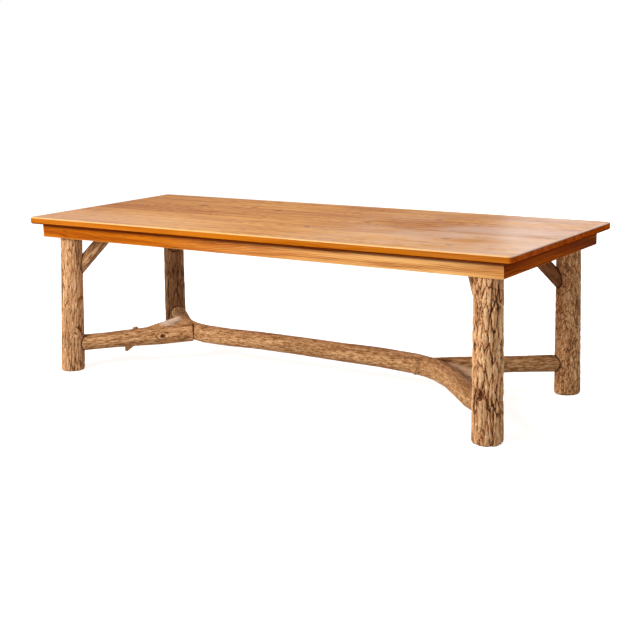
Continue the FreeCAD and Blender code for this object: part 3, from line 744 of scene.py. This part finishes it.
def rail_wood(name, boards, node, turned):
    """Stained and varnished rails with their grain along x, or along y when turned, with painted shade under
    the top and, on the long rails, painted light toward the right end.
    """
    material, wire, shader = new_material(name)
    place = wire.place()
    axes = wire.axes(place)
    along, through = (axes[1], axes[0]) if turned else (axes[0], axes[1])
    seed = wire.times(wire.math("SIGN", through), 2.3)
    figure = board_figure(wire, wire.joined(along, axes[2], through), seed, boards.ring_width)
    share = wire.plus(wire.times(figure["Figure"], 0.8), wire.times(figure["Patches"], 0.35))
    tone = wire.glaze(boards.pale, boards.deep, wire.smooth(share, 0.05, 1.05))
    tone = wire.glaze(tone, boards.knot, figure["Flecks"], 0.6)
    tone = wire.glaze(tone, boards.deep, figure["Pores"], 0.35)
    if turned:
        tone = wire.glaze(tone, boards.edge, wire.smooth(figure["Patches"], 0.0, 1.0, 0.1, 0.5))
        tone = wire.glaze(tone, boards.soaked_stain_and_shade, wire.smooth(figure["Figure"], 0.2, 0.8, 0.0, 0.7))
    else:
        # Painted light: the long rails pale towards their right end, in the worn colour
        rightward_light = wire.times(wire.smooth(along, -0.6, 0.9), wire.smooth(along, 1.24, 0.95, 0.55, 1.0))
        tone = wire.glaze(tone, boards.worn_and_lit, rightward_light, wire.smooth(share, 1.22, 0.14))
    low, high = folded_box(node, 1 if turned else 0)
    wear_and_highlight = edge_wear(wire, wire.vector("ABSOLUTE", place), low, high, RAIL_WEAR)
    tone = wire.glaze(tone, boards.worn_and_lit, wear_and_highlight, 0.3)
    # Painted shade under the top: a band just below a long rail's upper edge, and on an end rail darker
    # towards its top
    overhang_shade = wire.smooth(axes[2], low.z if turned else high.z - OVERHANG_SHADE_START, high.z - OVERHANG_SHADE_FULL)
    tone = wire.glaze(tone, boards.soaked_stain_and_shade, overhang_shade, 0.55 if turned else 0.85)
    finish_wood(wire, shader, figure, tone, boards.gloss + 0.15, 0.005 if turned else 0.03, RAIL_GRAIN)
    return material


def bare_wood(name, boards, turned):
    """Unstained sawn wood of the hidden pieces."""
    material, wire, shader = new_material(name)
    axes = wire.axes(wire.place())
    along, across = (axes[1], axes[0]) if turned else (axes[0], axes[1])
    place = wire.joined(along, across, axes[2])
    figure = board_figure(wire, place, wire.math("ROUND", axes[0]), boards.ring_width)
    tone = wire.glaze(boards.bare, boards.deep, wire.smooth(figure["Figure"], 0.0, 1.1))
    tone = wire.glaze(tone, boards.knot, figure["Flecks"], 0.5)
    tone = wire.glaze(tone, boards.worn_and_lit, figure["Patches"], 0.3)
    finish_wood(wire, shader, figure, tone, SAWN_ROUGHNESS, 0.2, SAWN_GRAIN)
    return material


def nail_metal(boards):
    """Dark cut steel with rusty patches."""
    material, wire, shader = new_material("cut_nail_steel")
    patches = wire.noise(wire.place(), 180.0, 4.0, 0.6)
    rust = wire.smooth(patches, 0.5, 0.65)
    wire.feed(shader.inputs["Base Color"], wire.glaze(boards.steel, boards.rust, rust))
    wire.feed(shader.inputs["Metallic"], wire.smooth(rust, 0.0, 1.0, 0.9, 0.1))
    wire.feed(shader.inputs["Roughness"], wire.smooth(patches, 0.3, 0.7, 0.42, 0.8))
    add_bump(wire, shader, patches, 0.5, NAIL_PITS)
    return material


def bark_material(bark, name, shadow, tint, mottle=1.0):
    """Bark of a log, with more or less painted shade in its furrows, a darker or paler tint, which on some
    logs is painted shade or light, and paler ridges that are partly a painted highlight.
    """
    material, wire, shader = new_material(name)
    tone = wire.add("ShaderNodeGroup", {"node_tree": group_of("Bark tone", bark_tone_group)})
    tone.inputs["Shadow"].default_value = shadow
    tone.inputs["Mottle"].default_value = mottle
    for label in BARK_TONES:
        colour = getattr(bark, label.lower())
        shares = [min(channel * share, 1.0) for channel, share in zip(colour, tint)]
        tone.inputs[label].default_value = (*shares, 1.0)
    wire.feed(shader.inputs["Base Color"], tone.outputs["Color"])
    wire.feed(shader.inputs["Roughness"], tone.outputs["Roughness"])
    add_bump(wire, shader, tone.outputs["Height"], 0.5, BARK_FIBRE)
    shader.inputs["Specular IOR Level"].default_value = 0.1
    return material


def vertex_array(obj, name="co", width=3):
    """Vertex values of a mesh as rows of numbers."""
    values = np.zeros(len(obj.data.vertices) * width)
    obj.data.vertices.foreach_get(name, values)
    return values.reshape(-1, width)


def put_attribute(obj, name, values):
    """Keep one number or one vector on each vertex."""
    is_vector = values.ndim == 2
    layer = obj.data.attributes.new(name, "FLOAT_VECTOR" if is_vector else "FLOAT", "POINT")
    layer.data.foreach_set("vector" if is_vector else "value", values.astype(np.float32).ravel())


def middle_of(places):
    """Middle of the box round some points."""
    return Vector((places.min(0) + places.max(0)) / 2)


def leg_axis(corner):
    """Foot and head of a leg's axis, read from its sawn foot and its tenon."""
    places = vertex_array(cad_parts["leg_" + corner])
    return [middle_of(places[np.abs(places[:, 2] - level) < LEVEL_SLACK]) for level in (0.0, TENON_TOP)]


def leg_place(corner, height):
    """Point on a leg's axis."""
    foot, head = leg_axis(corner)
    return foot.lerp(head, height / TENON_TOP)


def brace_axis(corner):
    """Ends of a brace's axis, on its leg and in its seat under the cleat."""
    places = vertex_array(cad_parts["brace_" + corner])
    seat = places[places[:, 2] > places[:, 2].max() - SEAT_SLACK]
    return leg_place(corner, BRACE_HEIGHT), middle_of(seat)


def log_blank(node, name, voxel):
    """Closed and evenly divided copy of a CAD log."""
    obj = bpy.data.objects.new(name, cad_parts[node].data.copy())
    bpy.context.scene.collection.objects.link(obj)
    obj.data.materials.clear()
    only(obj)
    bpy.ops.object.mode_set(mode="EDIT")
    bpy.ops.mesh.select_all(action="SELECT")
    bpy.ops.mesh.remove_doubles(threshold=1e-5)
    bpy.ops.object.mode_set(mode="OBJECT")
    remesh = obj.modifiers.new("Even skin", "REMESH")
    remesh.mode = "VOXEL"
    remesh.voxel_size = voxel
    apply_modifier(obj, remesh)
    return obj


def rise(values, start, width):
    """Values as they rise from 0 at the start to 1 a width further on."""
    return np.clip((values - start) / width, 0, 1)


def follow_limbs(obj, limbs, stretch, twist):
    """Keep on each vertex its place along and around the nearest limb, and how much it is bark."""
    places = vertex_array(obj)
    normals = vertex_array(obj, "normal")
    nearest, second = (np.full(len(places), np.inf) for _ in range(2))
    forks = np.zeros((2, len(places)))
    grain = np.zeros_like(places)
    bark, furrow, sawn = (np.zeros(len(places)) for _ in range(3))
    for part in limbs:
        start = np.array(part["start"])
        line = np.array(part["end"]) - start
        length = np.linalg.norm(line)
        aim = line / length
        along = (places - start) @ aim
        radial = places - start - np.outer(np.clip(along, 0, length), aim)
        distance = np.linalg.norm(radial, axis=1)
        side = np.cross(aim, (0, 0, 1)) if abs(aim[2]) < 0.9 else np.array((1.0, 0.0, 0.0))
        side /= np.linalg.norm(side)
        other = np.cross(side, aim)
        turn = along * twist
        out, up = radial @ side, radial @ other
        around = np.stack([out * np.cos(turn) - up * np.sin(turn), out * np.sin(turn) + up * np.cos(turn),
                           (part["from"] + along) * stretch], 1)
        facing = np.einsum("ij,ij->i", normals, radial) / np.maximum(distance, 1e-6)
        skin = rise(facing, BARK_FACING, FACING_WIDTH) * rise(distance / part["core"], 1, CORE_WIDTH)
        bare = part["bare"] * rise(along / length, BARE_FROM, BARE_WIDTH)
        reach = distance / part["radius"]
        closer = reach < nearest
        forks[1] = np.where(closer, forks[0], np.where(reach < second, part["fork"], forks[1]))
        forks[0][closer] = part["fork"]
        second = np.where(closer, nearest, np.minimum(second, reach))
        nearest[closer] = reach[closer]
        grain[closer] = around[closer]
        bark[closer] = skin[closer]
        furrow[closer] = part["furrow"]
        sawn[closer] = np.maximum(1 - rise(facing, 0, FACING_WIDTH), bare)[closer]
    furrow *= rise(second - nearest, 0, BLEND_WIDTH)
    crease = np.where(forks.all(0), np.exp(-((second - nearest) / CREASE_WIDTH) ** 2), 0)
    kept = {"grain": grain, "bark": bark, "furrow": furrow, "sawn": sawn, "crease": crease}
    for name, values in kept.items():
        put_attribute(obj, name, values)


def add_contact_shade(obj, others):
    """Keep on each vertex how close it lies to the floor and to the pieces the log is joined to, as painted
    shade.
    """
    places = vertex_array(obj)
    contact = np.exp(-(np.maximum(places[:, 2], 0) / FOOT_SHADE) ** 2)
    for other in others:
        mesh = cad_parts[other].data
        corners = [vertex.co for vertex in mesh.vertices]
        skin = BVHTree.FromPolygons(corners, [face.vertices for face in mesh.polygons])
        low, high = (np.array(corner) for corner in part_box(other))
        near = np.all((places > low - JOINT_MARGIN) & (places < high + JOINT_MARGIN), axis=1)
        for index in np.flatnonzero(near):
            distance = skin.find_nearest(places[index], JOINT_SEARCH)[3]
            if distance is not None:
                contact[index] = max(contact[index], math.exp(-(distance / JOINT_FADE) ** 2))
    put_attribute(obj, "contact", contact)


def knot_reach(obj, knot):
    """Distance of each vertex from a knot, as a share of the knot's ragged outline."""
    away = vertex_array(obj) - np.array(knot["place"])
    ragged = np.ones(len(away))
    for depth, waves in RAGGED_WAVES:
        ragged += depth * np.sin(away @ waves)
    return np.linalg.norm(away / (knot["width"], KNOT_REACH, knot["length"]), axis=1) * ragged


def add_knots(obj, hollow, swirl):
    """Keep on each vertex how deep it lies in a hollow knot and how high on the rings of a grown-over one."""
    pit, rings = (np.zeros(len(obj.data.vertices)) for _ in range(2))
    if hollow:
        pit = np.clip(1.25 - knot_reach(obj, hollow), 0, 1)
    if swirl:
        away = knot_reach(obj, swirl)
        rings = SWIRL_HEIGHT * np.cos(away * 2 * np.pi * SWIRL_RINGS) * np.clip(1.3 - away, 0, 1)
    put_attribute(obj, "hollow", pit)
    put_attribute(obj, "swirl", rings)


def limb(start, end, radius, furrow=1.0, bare=0.0, start_at=0.0, core=LIMB_CORE, fork=False):
    """One straight length of a log, for its grain; two forks of a log meet in a crease."""
    return {"start": start, "end": end, "radius": radius, "furrow": furrow, "bare": bare,
            "from": start_at, "core": core, "fork": fork}


def bark_log(node, limbs, others, voxel, material, bark, hollow=None, swirl=None):
    """Bark-on log that stands for a CAD node and is joined to others."""
    obj = log_blank(node, node + "_bark", voxel)
    follow_limbs(obj, limbs, bark["stretch"], bark["twist"])
    add_contact_shade(obj, others)
    add_knots(obj, hollow, swirl)
    relief = obj.modifiers.new("Bark relief", "NODES")
    relief.node_group = group_of("Bark relief", bark_relief_group)
    for item in relief.node_group.interface.items_tree:
        if item.in_out == "INPUT" and item.name in bark:
            relief[item.identifier] = bark[item.name]
    apply_modifier(obj, relief)
    places = vertex_array(obj)
    places[:, 2] = np.maximum(places[:, 2], CAD_BOX[0].z)
    obj.data.vertices.foreach_set("co", places.ravel())
    bpy.ops.object.shade_smooth()
    obj.data.materials.append(material)
    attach(obj, "root")
    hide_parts(node)


def furrowed(bark, seed, plate=1.0, depth=1.0, width=0.32, swell=0.003, twist=0.0, stretch=0.17):
    """Settings of the relief of one log, as shares of the plate width and furrow depth."""
    return {"Plate width": bark.plate_width * plate, "Furrow depth": bark.furrow_depth * depth,
            "Furrow width": width, "Swell": swell, "Seed": seed, "twist": twist, "stretch": stretch}


class LOGTABLE_OT_boards(bpy.types.Operator):
    """Stain and varnish the planks and rails"""

    bl_idname = "logtable.boards"
    bl_label = "Planks and rails"

    def execute(self, context):
        boards = context.scene.log_table_boards
        dress(PLANKS, plank_wood(boards))
        dress(LONG_RAILS, rail_wood("varnished_long_rails", boards, LONG_RAILS[0], False))
        dress(END_RAILS, rail_wood("varnished_end_rails", boards, END_RAILS[0], True))
        return {"FINISHED"}


class LOGTABLE_OT_underside(bpy.types.Operator):
    """Finish the cleats, blocks, keys and nails under the top"""

    bl_idname = "logtable.underside"
    bl_label = "Underside"

    def execute(self, context):
        boards = context.scene.log_table_boards
        dress(CROSS_PIECES, bare_wood("bare_cleats", boards, True))
        dress(SMALL_WOOD, bare_wood("bare_blocks", boards, False))
        dress(NAILS, nail_metal(boards))
        return {"FINISHED"}


class LOGTABLE_OT_legs(bpy.types.Operator):
    """Grow bark on the four legs"""

    bl_idname = "logtable.legs"
    bl_label = "Legs"

    def execute(self, context):
        bark = context.scene.log_table_bark
        for corner in CORNERS:
            length = limb(*leg_axis(corner), LEG_RADIUS, core=LEG_CORE)
            stretcher = "stretcher_branch" if corner == "front_left" else "stretcher_trunk"
            bark_log("leg_" + corner, [length], [stretcher, "brace_" + corner], bark.leg_voxel,
                     bark_material(bark, **LEG_FINISH[corner]), furrowed(bark, **LEG_RELIEF[corner]),
                     **LEG_KNOTS.get(corner, {}))
        return {"FINISHED"}


class LOGTABLE_OT_braces(bpy.types.Operator):
    """Grow bark on the four knee braces"""

    bl_idname = "logtable.braces"
    bl_label = "Braces"

    def execute(self, context):
        bark = context.scene.log_table_bark
        finishes = {side: bark_material(bark, **finish) for side, finish in BRACE_FINISH.items()}
        for corner in CORNERS:
            length = limb(*brace_axis(corner), BRACE_RADIUS, core=BRACE_CORE)
            bark_log("brace_" + corner, [length], ["leg_" + corner], bark.brace_voxel,
                     finishes[corner.split("_")[0]], furrowed(bark, BRACE_SEEDS[corner], **BRACE_RELIEF))
        return {"FINISHED"}


class LOGTABLE_OT_stretcher(bpy.types.Operator):
    """Grow bark on the forked trunk and the knotty branch"""

    bl_idname = "logtable.stretcher"
    bl_label = "Stretcher"

    def execute(self, context):
        bark = context.scene.log_table_bark
        roots = {corner: leg_place(corner, LIMB_HEIGHT[corner]) for corner in CORNERS}
        self.grow_trunk(bark, roots)
        self.grow_branch(bark, roots["front_left"])
        return {"FINISHED"}

    def grow_trunk(self, bark, roots):
        """Trunk from the back left leg to its fork, the limbs to both right legs and the stub between them."""
        first = (CROTCH_LEFT - roots["back_left"]).length
        second = first + (CROTCH_RIGHT - CROTCH_LEFT).length
        forked = {"start_at": second, "fork": True}
        limbs = [
            limb(roots["back_left"], CROTCH_LEFT, LIMB_RADIUS["back_left"]),
            limb(CROTCH_LEFT, CROTCH_RIGHT, TRUNK_RADIUS, start_at=first),
            limb(CROTCH_RIGHT, roots["front_right"], LIMB_RADIUS["front_right"], furrow=0.4, **forked),
            limb(CROTCH_RIGHT, roots["back_right"], LIMB_RADIUS["back_right"], **forked),
            limb(CROTCH_RIGHT, CROTCH_STUB_END, CROTCH_STUB_RADIUS, furrow=0.6, bare=0.45, **forked),
        ]
        joined = ["stretcher_branch", "leg_back_left", "leg_front_right", "leg_back_right"]
        bark_log("stretcher_trunk", limbs, joined, bark.limb_voxel, bark_material(bark, **TRUNK_FINISH),
                 furrowed(bark, **TRUNK_RELIEF))

    def grow_branch(self, bark, root):
        """Branch from the front left leg to the trunk, with its dry stub."""
        stub = root.lerp(CROTCH_LEFT, DRY_STUB_SHARE) + Vector((0, 0, DRY_STUB_LIFT))
        stub_end = stub + DRY_STUB_AIM * DRY_STUB_LENGTH
        limbs = [
            limb(root, CROTCH_LEFT, LIMB_RADIUS["front_left"]),
            limb(stub, stub_end, DRY_STUB_RADIUS, furrow=0.3, bare=0.9, core=DRY_STUB_CORE),
        ]
        bark_log("stretcher_branch", limbs, ["stretcher_trunk", "leg_front_left"], bark.leg_voxel,
                 bark_material(bark, **BRANCH_FINISH), furrowed(bark, **BRANCH_RELIEF),
                 BRANCH_HOLLOW, BRANCH_SWIRL)


def seen_background(wire):
    """Whether the background is seen by the camera, in a gloss or through glass."""
    paths = wire.add("ShaderNodeLightPath").outputs
    mirrored = wire.most(paths["Is Glossy Ray"], paths["Is Transmission Ray"])
    return wire.most(paths["Is Camera Ray"], mirrored)


class LOGTABLE_OT_stage(bpy.types.Operator):
    """Set up the floor, lamps and camera"""

    bl_idname = "logtable.stage"
    bl_label = "Stage"

    def execute(self, context):
        stage = context.scene.log_table_stage
        context.scene.view_settings.view_transform = "Standard"
        self.add_floor(stage)
        self.add_sky(context, stage)
        for name, lamp in LAMPS.items():
            self.add_lamp(context, name + "_lamp", getattr(stage, name + "_power"), **lamp)
        self.add_camera(context, stage)
        return {"FINISHED"}

    def add_floor(self, stage):
        """Pale floor that takes the shadow and glows where it is seen."""
        bpy.ops.object.select_all(action="DESELECT")
        bpy.ops.mesh.primitive_plane_add(size=FLOOR_SIZE)
        floor = bpy.context.active_object
        floor.name = "studio_floor"
        material = bpy.data.materials.new("studio_floor")
        wire = cleared(material)
        matt = wire.add("ShaderNodeBsdfDiffuse", Color=(*stage.floor, 1.0))
        glow = wire.add("ShaderNodeEmission", Color=WHITE, Strength=FLOOR_GLOW)
        lit = wire.add("ShaderNodeAddShader")
        wire.feed(lit.inputs[0], matt.outputs[0])
        wire.feed(lit.inputs[1], glow.outputs[0])
        mix = wire.add("ShaderNodeMixShader", Fac=seen_background(wire))
        wire.feed(mix.inputs[1], matt.outputs[0])
        wire.feed(mix.inputs[2], lit.outputs[0])
        wire.add("ShaderNodeOutputMaterial", Surface=mix.outputs[0])
        floor.data.materials.append(material)

    def add_sky(self, context, stage):
        """Soft light from all round, and white where it is seen."""
        world = bpy.data.worlds.new("studio")
        wire = cleared(world)
        strength = wire.math("MULTIPLY_ADD", seen_background(wire), 1.0 - stage.sky)
        strength.node.inputs[2].default_value = stage.sky
        back = wire.add("ShaderNodeBackground", Color=WHITE, Strength=strength)
        wire.add("ShaderNodeOutputWorld", Surface=back.outputs[0])
        context.scene.world = world

    def add_lamp(self, context, name, power, place, size):
        """Square lamp aimed at the middle of the table."""
        data = bpy.data.lights.new(name, "AREA")
        data.size = size
        data.energy = power
        lamp = bpy.data.objects.new(name, data)
        context.scene.collection.objects.link(lamp)
        lamp.location = place
        middle = (CAD_BOX[0] + CAD_BOX[1]) / 2
        lamp.rotation_euler = (middle - lamp.location).to_track_quat("-Z", "Y").to_euler()

    def add_camera(self, context, stage):
        """Camera at the photograph's viewing angle."""
        data = bpy.data.cameras.new("camera")
        data.sensor_width = FILM_WIDTH
        data.lens = stage.lens
        camera = bpy.data.objects.new("camera", data)
        context.scene.collection.objects.link(camera)
        level = math.cos(stage.tilt)
        ahead = Vector((-math.sin(stage.turn) * level, math.cos(stage.turn) * level, -math.sin(stage.tilt)))
        right = Vector((math.cos(stage.turn), math.sin(stage.turn), 0))
        above = right.cross(ahead)
        rolled_right = right * math.cos(stage.roll) + above * math.sin(stage.roll)
        rolled_above = above * math.cos(stage.roll) - right * math.sin(stage.roll)
        turn = Matrix((rolled_right, rolled_above, -ahead)).transposed()
        camera.matrix_world = Matrix.Translation(Vector(stage.eye)) @ turn.to_4x4()
        context.scene.camera = camera


class LOGTABLE_PT_panel(bpy.types.Panel):
    """Pieces of the table and its stage"""

    bl_idname = "LOGTABLE_PT_panel"
    bl_label = "Log table"
    bl_space_type = "VIEW_3D"
    bl_region_type = "UI"
    bl_category = "Log table"

    def draw(self, context):
        for group in SETTINGS:
            box = self.layout.box()
            settings = getattr(context.scene, group)
            for name in settings.__annotations__:
                box.prop(settings, name)
        for operator in OPERATORS:
            self.layout.operator(operator.bl_idname)


SETTINGS = {
    "log_table_boards": LogTableBoards,
    "log_table_bark": LogTableBark,
    "log_table_stage": LogTableStage,
}
OPERATORS = (
    LOGTABLE_OT_boards,
    LOGTABLE_OT_underside,
    LOGTABLE_OT_legs,
    LOGTABLE_OT_braces,
    LOGTABLE_OT_stretcher,
    LOGTABLE_OT_stage,
)
CLASSES = (*SETTINGS.values(), *OPERATORS, LOGTABLE_PT_panel)


def register():
    """Add the classes and the scene's settings."""
    for item in CLASSES:
        bpy.utils.register_class(item)
    for name, group in SETTINGS.items():
        setattr(bpy.types.Scene, name, bpy.props.PointerProperty(type=group))


def unregister():
    """Remove the settings and the classes."""
    for name in SETTINGS:
        delattr(bpy.types.Scene, name)
    for item in reversed(CLASSES):
        bpy.utils.unregister_class(item)


def main():
    """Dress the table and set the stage."""
    register()
    bpy.ops.logtable.boards()
    bpy.ops.logtable.underside()
    bpy.ops.logtable.legs()
    bpy.ops.logtable.braces()
    bpy.ops.logtable.stretcher()
    bpy.ops.logtable.stage()
    bpy.context.view_layer.update()


if __name__ == "__main__":
    main()
